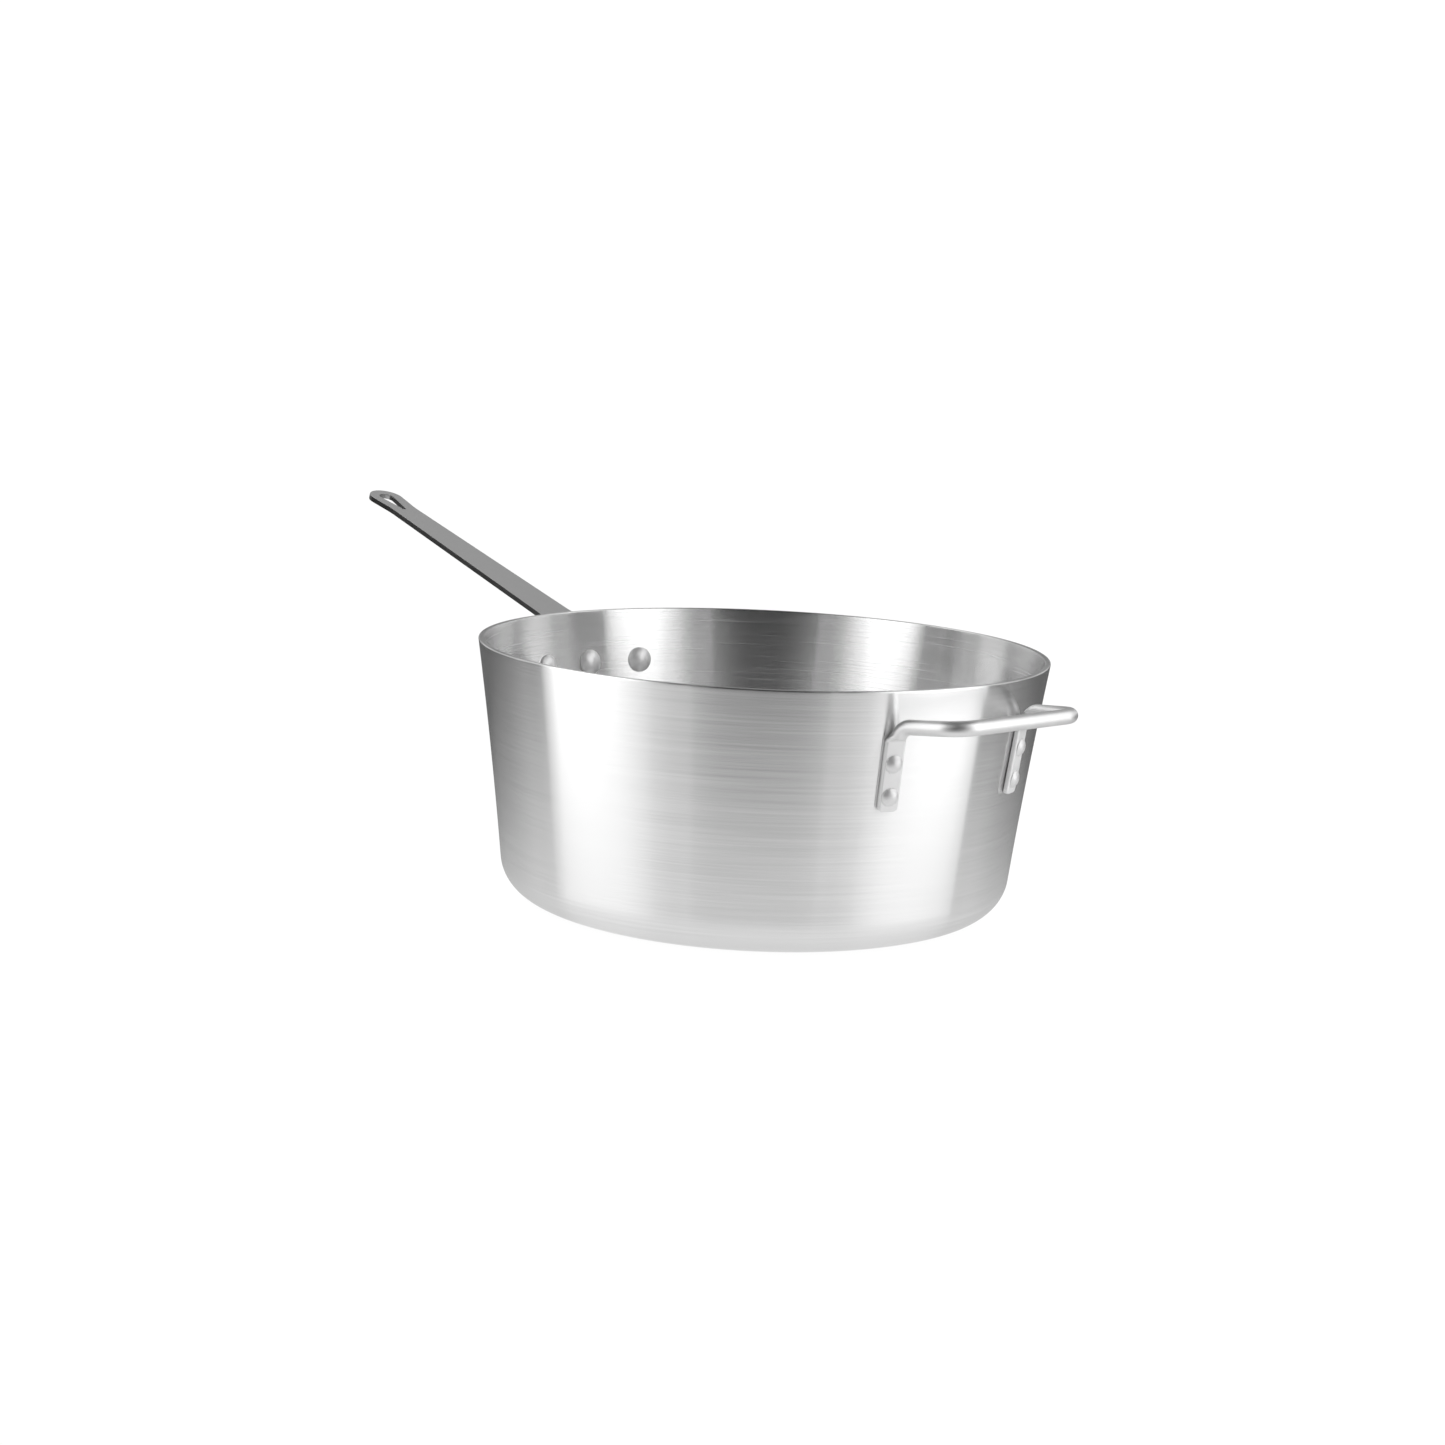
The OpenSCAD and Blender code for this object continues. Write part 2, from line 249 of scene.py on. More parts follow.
def lathe(profile, segments):
    """Points and faces of a profile [(r, z)] turned round Z. A radius of 0 makes a pole."""
    points, rings, faces = [], [], []
    for r, z in profile:
        if r < 1e-6:
            rings.append([len(points)])
            points.append((0, 0, z))
            continue
        rings.append(list(range(len(points), len(points) + segments)))
        for i in range(segments):
            a = 2 * math.pi * i / segments
            points.append((r * math.cos(a), r * math.sin(a), z))
    for low, high in zip(rings, rings[1:]):
        for i in range(segments):
            j = (i + 1) % segments
            if len(low) == 1:
                faces.append((low[0], high[j], high[i]))
            elif len(high) == 1:
                faces.append((low[i], low[j], high[0]))
            else:
                faces.append((low[i], low[j], high[j], high[i]))
    return points, faces


def clean_mesh(mesh):
    """Removes the slivers that a cut leaves."""
    shell = bmesh.new()
    shell.from_mesh(mesh)
    bmesh.ops.remove_doubles(shell, verts=shell.verts, dist=SLIVER * MM)
    bmesh.ops.dissolve_degenerate(shell, dist=SLIVER * MM, edges=shell.edges)
    shell.to_mesh(mesh)
    shell.free()


def drill(piece, holes):
    """Cuts round holes: each is (point, direction, diameter, length) in millimetres."""
    count = DRILL_SEGMENTS
    angles = [2 * math.pi * i / count for i in range(count)]
    sides = [(i, (i + 1) % count, count + (i + 1) % count, count + i) for i in range(count)]
    caps = [tuple(reversed(range(count))), tuple(range(count, 2 * count))]
    for point, direction, diameter, length in holes:
        turn = direction.to_track_quat("Z", "Y").to_matrix()
        r = diameter / 2
        rims = []
        for end in (-length / 2, length / 2):
            rims += [point + turn @ Vector((r * math.cos(a), r * math.sin(a), end)) for a in angles]
        cutter = new_piece("cutter", rims, sides + caps)
        cut = piece.modifiers.new("hole", "BOOLEAN")
        cut.operation = "DIFFERENCE"
        cut.solver = "EXACT"
        cut.object = cutter
        depsgraph = bpy.context.evaluated_depsgraph_get()
        mesh = bpy.data.meshes.new_from_object(piece.evaluated_get(depsgraph))
        piece.modifiers.clear()
        old = piece.data
        piece.data = mesh
        bpy.data.meshes.remove(old)
        bpy.data.meshes.remove(cutter.data)
    clean_mesh(piece.data)


# ---------------------------------------------------------------- pot


def pot_profile():
    """The pot's section from the centre of the underside, over the rim, to the floor inside."""
    floor = [(CORNER_X * k / FLOOR_ROWS, 0.0) for k in range(FLOOR_ROWS)]
    lean = math.degrees(CORNER_LEAN)
    bend = arc(CORNER_X, CORNER_R, CORNER_R, -90, -lean, BEND_ROWS)

    def wall(offset, low):
        """Points up the wall from a height, offset millimetres inside its outer face."""
        r = BOW_R + offset
        points = []
        for k in range(WALL_ROWS + 1):
            z = low + (POT_H - low) * k / WALL_ROWS
            points.append((BOW_X - math.sqrt(r**2 - (z - BOW_Z) ** 2), z))
        return points

    outer = wall(0, CORNER_R - CORNER_R * math.sin(CORNER_LEAN))
    inner = wall(WALL_T, CORNER_R - (CORNER_R - WALL_T) * math.sin(CORNER_LEAN))
    rim = rounded(
        [(*outer[-2], 0), (*outer[-1], RIM_ROUND), (*inner[-1], RIM_ROUND), (*inner[-2], 0)],
        closed=False,
        degrees_a_step=18,
    )
    inner_bend = arc(CORNER_X, CORNER_R, CORNER_R - WALL_T, -lean, -90, BEND_ROWS)
    inner_floor = [(CORNER_X * k / FLOOR_ROWS, WALL_T) for k in reversed(range(FLOOR_ROWS))]
    profile = floor + bend + outer[1:-2] + [tuple(p) for p in rim]
    return profile + inner[-3:0:-1] + inner_bend + inner_floor


def make_pot(material):
    points, faces = lathe(pot_profile(), POT_SEGMENTS)
    pot = new_piece("pot_body_visual", points, faces)
    holes = [(*rivet_axis(n), HANDLE_SHANK_D, WALL_DRILL_L) for n in HANDLE_RIVETS]
    holes += [(*rivet_axis(n), HELPER_SHANK_D, WALL_DRILL_L) for n in HELPER_RIVETS]
    drill(pot, holes)
    finish_piece(pot, material, "pot_aluminium", "pot_body")


# ---------------------------------------------------------------- rivets

# Heights and lengths on a head, over its diameter
DOME_RATIO = 0.26
EDGE_RATIO = 0.04  # the upright edge under the dome
EDGE_STEP_IN = 0.0105  # how far the edge draws in at the seat
EDGE_LOW = 0.0175  # where the edge's upright part begins
EDGE_HIGH = 0.026  # and where it ends
DOME_START = 0.985  # the dome begins a little above its rim, which rounds the edge
HEAD_RINGS = 14
HEAD_SEGMENTS = 72
SHANK_PLAY = 0.1  # between a shank and its hole, on the radius


def dome_rows(d):
    """(radius, height) of a domed head with a short upright edge, from its seat to its top."""
    edge_h = EDGE_RATIO * d
    cap_h = d * DOME_RATIO - edge_h
    cap_r = ((d / 2) ** 2 + cap_h**2) / (2 * cap_h)
    edge_angle = math.asin(d / 2 / cap_r)
    rows = [(d / 2 - EDGE_STEP_IN * d, 0.0), (d / 2, EDGE_LOW * d), (d / 2, EDGE_HIGH * d)]
    for k in range(HEAD_RINGS + 1):
        a = edge_angle * (1 - k / HEAD_RINGS) * (DOME_START if k == 0 else 1)
        rows.append((cap_r * math.sin(a), edge_h + cap_h - cap_r + cap_r * math.cos(a)))
    return rows


def hammer_dent(p):
    """How far a set head stands proud or sinks at a point, from the hammer's marks."""
    return noise.noise(p * 0.35) * 0.07 + noise.noise(p * 0.9) * 0.03


def make_rivet(node, shank_d, layer_t, head_d, tail_d, material):
    """A set rivet: a head inside the pot, a shank and a tail head outside. Both follow the wall's
    curve where they lie on it."""
    place, out = rivet_axis(node)
    up = (Vector((0, 0, 1)) - out * out.z).normalized()
    side = out.cross(up)
    wall = math.hypot(place.x, place.y)
    rows = []  # (radius, position along the axis, how far the row follows the wall's curve)
    for r, h in reversed(dome_rows(head_d)):
        rows.append((r, -WALL_T - h, 1 - h / (head_d * DOME_RATIO)))
    rows.append((shank_d / 2 - SHANK_PLAY, -WALL_T, 1))
    rows.append((shank_d / 2 - SHANK_PLAY, layer_t, 1))
    for r, h in dome_rows(tail_d):
        rows.append((r, layer_t + h, 1 - h / (tail_d * DOME_RATIO)))
    points, faces = lathe([(r, x) for r, x, _ in rows], HEAD_SEGMENTS)
    follow = [f for r, _, f in rows for _ in range(1 if r < 1e-6 else HEAD_SEGMENTS)]
    placed = []
    for (x, y, along), f in zip(points, follow):
        sag = f * y * y / (2 * wall)
        p = place + up * x + side * y + out * (along - sag)
        placed.append(p + out * hammer_dent(p) * (1 - f) * (1 if along > 0 else -1))
    rivet = new_piece(node + "_visual", placed, faces, 50)
    finish_piece(rivet, material, "rivet_aluminium", node)


# ---------------------------------------------------------------- long handle

STRIP_TURN = math.pi / 2 - wall_lean(STRIP_Z) - STRIP_SLOPE
BEND_OUTER_R = STRIP_BEND_R + STRIP_T
BEND_ARC = (STRIP_BEND_R + STRIP_T / 2) * STRIP_TURN
EDGE_ROUND = 0.12  # radius of the strip's edges
EDGE_ROWS = 4
FLATTEN_L = 1.5 * BEND_ARC  # over this length the saddle's curve gives way to the flat strip
SADDLE_END_R = SADDLE_H / 2 - 0.01  # just too small for its two corners to meet
POINT_GAP = 0.02  # outline points closer than this become one
GRID_MARGIN = 0.8  # between the outline and the points that fill it
GRID_COARSE = 4.0
GRID_FINE = 1.0  # along the bend


def strip_length():
    """Length of the straight strip, from the reach of the CAD handle."""
    low, _ = cad_box_mm("long_handle")
    reach = -low.x - wall_r(STRIP_Z) - SEAT_GAP
    run = BEND_OUTER_R * math.tan(STRIP_TURN / 2)
    return (reach - STRIP_T * math.sin(STRIP_SLOPE)) / math.cos(STRIP_SLOPE) - run


def bend_strip(s, v, h):
    """Where a point of the flat strip ends up.

    s runs along the strip from the start of its bend, negative on the wall. v runs across it.
    h is the depth below the face that touches the wall and becomes the top of the handle.
    """
    lean = wall_lean(STRIP_Z)
    up = Vector((math.sin(lean), math.cos(lean)))
    out = Vector((math.cos(lean), -math.sin(lean)))
    knee = Vector((wall_r(STRIP_Z) + SEAT_GAP, STRIP_Z))
    start = knee - up * BEND_OUTER_R * math.tan(STRIP_TURN / 2)
    centre = start + out * BEND_OUTER_R
    if s <= 0:
        z = start.y + s * math.cos(lean)
        p = Vector((wall_r(z) + SEAT_GAP, z)) + out * h
    else:
        a = min(s / BEND_ARC, 1) * STRIP_TURN
        p = centre + (BEND_OUTER_R - h) * (up * math.sin(a) - out * math.cos(a))
        p += max(s - BEND_ARC, 0) * (up * math.cos(a) + out * math.sin(a))
    flat = Vector((p.x, v, p.y))
    r = wall_r(STRIP_Z)
    curved = Vector((p.x * math.cos(v / r), p.x * math.sin(v / r), p.y))
    q = curved.lerp(flat, ease(s / FLATTEN_L))
    return Vector((-q.x, -q.y, q.z))


def strip_outline(tip):
    """The flat strip's outline as (s, v): rounded end, neck, flare, and the saddle across it."""
    rivet_s = saddle_centre()
    top, bottom = rivet_s + SADDLE_H / 2, rivet_s - SADDLE_H / 2
    end_v = side_rivet_v() + SADDLE_H / 2
    tip_r = TIP_W / 2
    neck_s = tip - tip_r - NECK_L
    # The flare's line touches the rounded end and runs on to the line of the tip
    gap = Vector((NECK_L, -NECK_W / 2))
    slope = math.atan2(gap.y, gap.x) + math.asin(tip_r / gap.length)
    tip_v = NECK_W / 2 + (tip - neck_s) * math.tan(slope)
    half = [
        (tip, tip_v, tip_r),
        (neck_s, NECK_W / 2, NECK_R),
        (BEND_ARC + ROOT_FLARE_L, STRIP_W / 2, FLARE_R),
        (BEND_ARC, ROOT_W / 2, ROOT_R),
        (top, ROOT_W / 2, SADDLE_FILLET),
        (top, end_v, SADDLE_END_R),
        (bottom, end_v, SADDLE_END_R),
    ]
    return rounded(half + [(s, -v, r) for s, v, r in reversed(half)])


def saddle_centre():
    """Where the rivets' row lies along the flat strip."""
    lean = wall_lean(STRIP_Z)
    start_z = STRIP_Z - BEND_OUTER_R * math.tan(STRIP_TURN / 2) * math.cos(lean)
    return (rivet_axis("handle_rivet_centre")[0].z - start_z) / math.cos(lean)


def side_rivet_v():
    place, _ = rivet_axis("handle_rivet_left")
    return wall_r(STRIP_Z) * (math.pi - math.atan2(place.y, place.x))


def hang_hole(tip):
    """Teardrop: a wide round end near the tip and a narrow one towards the pot."""
    wide_r = HANG_W / 2
    far, near = tip - TIP_MARGIN, tip - TIP_MARGIN - HANG_L
    lean = math.asin((wide_r - HANG_NARROW_R) / (HANG_L - wide_r - HANG_NARROW_R))

    def edge(s):
        """Half width of the teardrop's straight side, carried on to s."""
        return (wide_r - (far - wide_r - s) * math.sin(lean)) / math.cos(lean)

    half = [(far, edge(far), wide_r), (near, edge(near), HANG_NARROW_R)]
    return rounded(half + [(s, -v, r) for s, v, r in reversed(half)])


def circle_loop(s, v, r, count=48):
    return [Vector(p) for p in arc(s, v, r, 0, 360 * (count - 1) / count, count - 1)]


def inset(loop, depth):
    """A closed loop moved to the left of its direction, which is the metal's side."""
    sharpest = 0.3  # limits how far a sharp corner moves
    out = []
    for i, p in enumerate(loop):
        a = (p - loop[i - 1]).normalized()
        b = (loop[(i + 1) % len(loop)] - p).normalized()
        n = Vector((-a.y - b.y, a.x + b.x)).normalized()
        out.append(p + n * depth / max(sharpest, n.dot(Vector((-a.y, a.x)))))
    return out


def area(loop):
    """Area of a loop, positive when it turns left."""
    return sum(p.x * q.y - q.x * p.y for p, q in zip(loop, loop[1:] + loop[:1])) / 2


def tidy_loop(loop, solid):
    """Drops doubled points and makes the loop turn left round metal, right round a hole."""
    kept = [p for i, p in enumerate(loop) if (p - loop[i - 1]).length > POINT_GAP]
    return kept if (area(kept) > 0) == solid else kept[::-1]


def inside(loop, x, y):
    """Whether a point lies inside a loop: a ray from it crosses the loop an odd number of times."""
    hit = False
    for i, p in enumerate(loop):
        q = loop[i - 1]
        if (p.y > y) != (q.y > y) and x < (q.x - p.x) * (y - p.y) / (q.y - p.y) + p.x:
            hit = not hit
    return hit


def in_metal(loops, x, y):
    """Whether a point lies inside the first loop and outside the others."""
    return inside(loops[0], x, y) and not any(inside(hole, x, y) for hole in loops[1:])


def grid_points(loops):
    """Points inside the metal, closer together along the bend."""
    guard = [inset(loop, GRID_MARGIN) for loop in loops]
    rows = int(max(p.y for p in loops[0]) / GRID_COARSE)
    high = max(p.x for p in loops[0])
    x = min(p.x for p in loops[0]) + GRID_COARSE / 2
    points = []
    while x < high:
        for k in range(-rows, rows + 1):
            if in_metal(guard, x, k * GRID_COARSE):
                points.append(Vector((x, k * GRID_COARSE)))
        bent = -1 <= x <= FLATTEN_L + 2
        x += GRID_FINE if bent else GRID_COARSE
    return points


def plate_faces(loops):
    """Points and triangles that fill the first loop less the others. The loops' points come first."""
    verts = [p for loop in loops for p in loop] + grid_points(loops)
    edges, base = [], 0
    for loop in loops:
        edges += [(base + i, base + (i + 1) % len(loop)) for i in range(len(loop))]
        base += len(loop)
    points, _, faces, *_ = delaunay_2d_cdt(verts, edges, [], 0, 1e-4)
    kept = []
    for face in faces:
        c = sum((points[i] for i in face), Vector((0, 0))) / len(face)
        if in_metal(loops, c.x, c.y):
            kept.append(tuple(face))
    return points, kept


def strip_loops():
    """The flat strip's outline, its hanging hole and its three rivet holes."""
    tip = BEND_ARC + strip_length()
    loops = [tidy_loop(strip_outline(tip), True), tidy_loop(hang_hole(tip), False)]
    for v in (-side_rivet_v(), 0, side_rivet_v()):
        loops.append(tidy_loop(circle_loop(saddle_centre(), v, HANDLE_SHANK_D / 2), False))
    return loops


def edge_layers():
    """(inset, depth) down the plate's rounded edge, from one face to the other."""
    layers = []
    for k in range(EDGE_ROWS + 1):
        a = math.pi / 2 * k / EDGE_ROWS
        layers.append((EDGE_ROUND * (1 - math.sin(a)), EDGE_ROUND * (1 - math.cos(a))))
    return layers + [(i, STRIP_T - h) for i, h in reversed(layers)]


def make_long_handle(material):
    loops = strip_loops()
    layers = edge_layers()
    rings = [[inset(loop, i) for loop in loops] for i, _ in layers]
    points, faces = [], []
    flat, fill = plate_faces(rings[0])
    count = sum(len(loop) for loop in loops)
    for depth in (0.0, STRIP_T):
        base = len(points)
        points += [bend_strip(p.x, p.y, depth) for p in flat]
        faces += [tuple(base + i for i in (f[::-1] if depth else f)) for f in fill]
    edge_rows = [list(range(count))]
    for k in range(1, len(layers) - 1):
        edge_rows.append(list(range(len(points), len(points) + count)))
        points += [bend_strip(p.x, p.y, layers[k][1]) for loop in rings[k] for p in loop]
    edge_rows.append([len(flat) + i for i in range(count)])
    for upper, lower in zip(edge_rows, edge_rows[1:]):
        base = 0
        for loop in loops:
            n = len(loop)
            for i in range(n):
                a, b = base + i, base + (i + 1) % n
                faces.append((upper[a], lower[a], lower[b], upper[b]))
            base += n
    handle = new_piece("long_handle_visual", points, faces, 60)
    weigh_normals(handle)
    finish_piece(handle, material, "handle_steel", "long_handle")


# ---------------------------------------------------------------- helper handle

RING_CORNER = 10  # points on each quarter of the rod's section
RING = 4 * RING_CORNER
PATH_STEP = 0.6
END_ROWS = 9  # rows of points over the tab's rounded lower corners
FLATTEN_ROWS = 6  # rows of points just before the rod's bend
ROW_GAP = 0.8  # least distance of the other rows from these
FLATTEN_BEFORE = 1.2  # the rod flattens between here before the start of its bend and here after it
FLATTEN_AFTER = 3.0
END_ROUND = 0.4  # radius of the tab's lower edge
EDGE_R = 1.3  # radius of the tabs' long edges


def tab_frame():
    """The left tab: where its two rivets cross the wall's face, and its outward and up axes."""
    upper, out = rivet_axis("helper_rivet_left_upper")
    lower, _ = rivet_axis("helper_rivet_left_lower")
    up = (upper - lower).normalized()
    out = (out - up * out.dot(up)).normalized()
    return upper, lower, out, up


def rounded_path(corners, step):
    """Points along straight lines with rounded corners, each given as (point, radius)."""
    path = [corners[0][0]]
    for (before, _), (here, r), (after, _) in zip(corners, corners[1:], corners[2:]):
        a, b = (before - here).normalized(), (after - here).normalized()
        turn = math.pi - a.angle(b)
        trim = r * math.tan(turn / 2)
        middle = here + (a + b).normalized() * (r / math.cos(turn / 2))
        axis = b.cross(a).normalized()
        start = here + a * trim - middle
        steps = max(4, round(r * turn / step))
        for k in range(steps + 1):
            path.append(middle + Matrix.Rotation(turn * k / steps, 3, axis) @ start)
    path.append(corners[-1][0])
    filled = [path[0]]
    for p in path[1:]:
        gap = (p - filled[-1]).length
        pieces = max(1, round(gap / (4 * step)))
        last = filled[-1]
        filled += [last.lerp(p, k / pieces) for k in range(1, pieces + 1)]
    return filled


def section_ring(width, height, corner):
    """A rounded rectangle as (across, depth), depth counted from the wall's side."""
    ring = []
    for sx, sy, start in ((1, 1, 0), (-1, 1, 90), (-1, -1, 180), (1, -1, 270)):
        cx, cy = sx * (width / 2 - corner), height / 2 + sy * (height / 2 - corner)
        for k in range(RING_CORNER):
            a = math.radians(start + 90 * (k + 0.5) / RING_CORNER)
            ring.append((cx + corner * math.cos(a), cy + corner * math.sin(a)))
    return ring


def section_at(past_knee):
    """Width, height and corner radius of the rod's section at a distance past the start of its
    bend: a flat tab before it, a round rod after it."""
    t = ease((past_knee + FLATTEN_BEFORE) / (FLATTEN_BEFORE + FLATTEN_AFTER))
    width = TAB_W + (2 * ROD_R - TAB_W) * t
    height = TAB_T + (2 * ROD_R - TAB_T) * t
    corner = min(EDGE_R + (ROD_R - EDGE_R) * t, height / 2, width / 2)
    return width, height, corner


def half_loop():
    """Centre line of half the handle, from the left tab's lower end to the middle of the bar, and
    the length of its straight start.

    It is that of a round rod that lies against the wall, also where the rod is flattened."""
    upper, lower, out, up = tab_frame()
    middle = (upper + lower) / 2 + out * (TAB_GAP + ROD_R)
    slope = LOOP_RISE / LOOP_REACH
    loop_x = wall_r(LOOP_Z)

    def loop_height(x):
        return LOOP_Z + slope * (x - loop_x)

    knee_up = (loop_height(middle.x) - middle.z) / (up.z - slope * up.x)
    bar_x = loop_x + LOOP_REACH
    foot = middle - up * ((upper - lower).length / 2 + TAB_TAIL)
    knee = middle + up * knee_up
    bar_end = Vector((bar_x, BAR_HALF, loop_height(bar_x)))
    straight = (knee - foot).length - LEG_BEND_R * math.tan(up.angle(bar_end - knee) / 2)
    corners = [
        (foot, 0),
        (knee, LEG_BEND_R),
        (bar_end, LOOP_BEND_R),
        (Vector((bar_x, 0, loop_height(bar_x))), 0),
    ]
    path = rounded_path(corners, PATH_STEP)
    # More points where the tab's end is rounded and where the rod is flattened
    turns = [math.pi / 2 * k / END_ROWS for k in range(END_ROWS + 1)]
    end = [foot + up * (TAB_CORNER_R * (1 - math.cos(a))) for a in turns]
    before_knee = straight - 2 * FLATTEN_BEFORE
    step = 2 * FLATTEN_BEFORE / FLATTEN_ROWS
    close = [foot + up * (before_knee + step * k) for k in range(FLATTEN_ROWS)]
    leg = [p for p in path if (p - foot).length < straight - ROW_GAP / 8]
    low, high = TAB_CORNER_R + ROW_GAP, before_knee - ROW_GAP
    middle_leg = [p for p in leg if low < (p - foot).length < high]
    return end + middle_leg + close + path[len(leg) :], straight


def end_rounding(r, from_end):
    """How far a corner of radius r has drawn in a side at a distance from the end."""
    return r - math.sqrt(r**2 - (r - from_end) ** 2) if from_end < r else 0.0


def rod_rings():
    """The rod's section at each point of half its path, as one list of points."""
    _, _, out, up = tab_frame()
    path, straight = half_loop()
    foot = path[0]
    normal = out.copy()
    last_tangent = up
    along = 0.0
    points = []
    for i, p in enumerate(path):
        before, after = path[max(i - 1, 0)], path[min(i + 1, len(path) - 1)]
        tangent = (after - before).normalized()
        if i == len(path) - 1:
            tangent = Vector((0, -1, 0))
        along += (p - before).length
        normal.rotate(last_tangent.rotation_difference(tangent))
        normal = (normal - tangent * normal.dot(tangent)).normalized()
        last_tangent = tangent
        side = tangent.cross(normal)
        width, height, corner = section_at(along - straight)
        from_end = (p - foot).length
        squeeze = end_rounding(END_ROUND, from_end)
        width -= 2 * end_rounding(TAB_CORNER_R, from_end)
        height -= 2 * squeeze
        for x, depth in section_ring(width, height, min(corner, height / 2 - 0.01)):
            points.append(p - side * x + normal * (depth + squeeze - ROD_R))
    return points


def add_mirror_image(points, faces):
    """Adds the right half of the handle, joined to the left one at the last ring."""
    last_ring = len(points) - RING
    mirrored = list(range(len(points)))
    for i, (x, y, z) in enumerate(list(points)):
        if i >= last_ring:
            points[i] = Vector((x, 0, z))
        else:
            mirrored[i] = len(points)
            points.append(Vector((x, -y, z)))
    faces += [tuple(mirrored[i] for i in reversed(f)) for f in list(faces)]


def make_helper_handle(material):
    points = rod_rings()
    faces = []
    for a in range(0, len(points) - RING, RING):
        for i in range(RING):
            j = (i + 1) % RING
            faces.append((a + i, a + j, a + RING + j, a + RING + i))
    faces.append(tuple(reversed(range(RING))))
    add_mirror_image(points, faces)
    handle = new_piece("helper_handle_visual", points, faces, 50)
    drill(handle, [(*rivet_axis(n), HELPER_SHANK_D, TAB_DRILL_L) for n in HELPER_RIVETS])
    weigh_normals(handle)
    finish_piece(handle, material, "helper_aluminium", "helper_handle")


# ---------------------------------------------------------------- materials

# The pot's metal. Streaks are given as (length, width, detail), sizes in millimetres.
POT_ROUGHNESS = 0.23
POT_ANISOTROPY = 0.81
FINE_STREAKS = (90, 0.6, 2)
BROAD_STREAKS = (160, 1.6, 2)
BANDS = (160, 9, 1)
BAND_ROUGHNESS = 0.03  # how much the roughness varies from band to band
FINE_SLOPE = 0.1  # how strongly the streaks tip the pot's face up and down
BROAD_SLOPE = 0.015
BROAD_SHARE = 0.3  # the broad streaks' part of the tone
STREAK_TONE = 0.9
STREAK_CONTRAST = 0.14  # how much the streaks vary the metal's tone
SCRATCH_SHARE = 1.5  # how much light the streaks inside the pot scatter
SCRATCH_ROUGHNESS = 0.5

# The satin metals
CLOUD_SIZE = 12.0
CLOUD_DARK = 0.96
CLOUD_LIGHT = 1.03
CLOUD_ROUGHNESS = 0.1
GRAIN_DEPTH = 0.03
PRESSED_DULLNESS = 0.25  # added to the roughness of pressed metal
PRESSED_PAINTED_LIGHT = 0.15  # painted light: added to its brightness, which makes the pressed ends paler
PRESSED_FADE = 7.0  # height over which pressed metal passes into drawn metal, and its painted light fades out
PRESSED_TOP = UPPER_RIVET_Z + 14.0  # where the helper handle's pressed ends and their painted light stop


class Nodes:
    """Short calls for building a node tree."""

    def __init__(self, tree):
        self.tree = tree
        tree.nodes.clear()

    def add(self, kind, inputs=None, **settings):
        node = self.tree.nodes.new(kind)
        for key, value in settings.items():
            setattr(node, key, value)
        for key, value in (inputs or {}).items():
            self.set(node.inputs[key], value)
        return node

    def set(self, socket, value):
        if isinstance(value, bpy.types.NodeSocket):
            self.tree.links.new(value, socket)
        else:
            socket.default_value = value

    def math(self, operation, a, b=0.0, c=0.0):
        return self.add("ShaderNodeMath", {0: a, 1: b, 2: c}, operation=operation).outputs[0]

    def vector(self, operation, a, b=(0, 0, 0)):
        node = self.add("ShaderNodeVectorMath", {0: a, 1: b}, operation=operation)
        return node.outputs["Value" if operation in ("DOT_PRODUCT", "LENGTH") else "Vector"]

    def scaled(self, vector, factor):
        node = self.add("ShaderNodeVectorMath", {0: vector, "Scale": factor}, operation="SCALE")
        return node.outputs["Vector"]

    def grey(self, tone):
        return self.add("ShaderNodeCombineColor", {0: tone, 1: tone, 2: tone}).outputs[0]

    def ramp(self, value, stops, smooth):
        """A grey that follows stops, each (position, grey), for a value from 0 to 1."""
        node = self.add("ShaderNodeValToRGB", {"Fac": value})
        ramp = node.color_ramp
        ramp.interpolation = "EASE" if smooth else "LINEAR"
        while len(ramp.elements) < len(stops):
            ramp.elements.new(0.5)
        for element, (position, grey) in zip(ramp.elements, stops):
            element.position = position
            element.color = (grey, grey, grey, 1)
        return node.outputs["Color"]

    def profile(self, value, stops):
        """A value that follows straight lines between stops, each (input, output), and keeps the
        first and the last output beyond them."""
        low, high = stops[0][0], stops[-1][0]
        top = max(level for _, level in stops)
        place = self.add(
            "ShaderNodeMapRange", {"Value": value, "From Min": low, "From Max": high}
        ).outputs[0]
        scaled = [((at - low) / (high - low), level / top) for at, level in stops]
        return self.math("MULTIPLY", self.ramp(place, scaled, smooth=False), top)

    def noise(self, vector, detail=2.0, roughness=0.5):
        node = self.add(
            "ShaderNodeTexNoise",
            {"Vector": vector, "Scale": 1.0, "Detail": detail, "Roughness": roughness},
        )
        return node.outputs["Fac"]


def new_material(name):
    material = bpy.data.materials.new(name)
    material.use_nodes = True
    return material, Nodes(material.node_tree)


def turned_coordinates(n):
    """Coordinates in millimetres across the pot, and one that runs up the wall and in over the
    floor; then the direction away from the axis."""
    here = n.scaled(n.add("ShaderNodeTexCoord").outputs["Object"], 1 / MM)
    x, y, z = n.add("ShaderNodeSeparateXYZ", {0: here}).outputs
    outward = n.add("ShaderNodeCombineXYZ", {0: x, 1: y, 2: 0.0}).outputs[0]
    climb = n.math("SUBTRACT", z, n.vector("LENGTH", outward))
    return (x, y, climb), outward


def streaks(n, place, length, width, detail):
    """Noise drawn out round the pot: streaks of a length and a width in millimetres."""
    x, y, climb = place
    sizes = {
        0: n.math("DIVIDE", x, length),
        1: n.math("DIVIDE", y, length),
        2: n.math("DIVIDE", climb, width),
    }
    return n.noise(n.add("ShaderNodeCombineXYZ", sizes).outputs[0], detail)


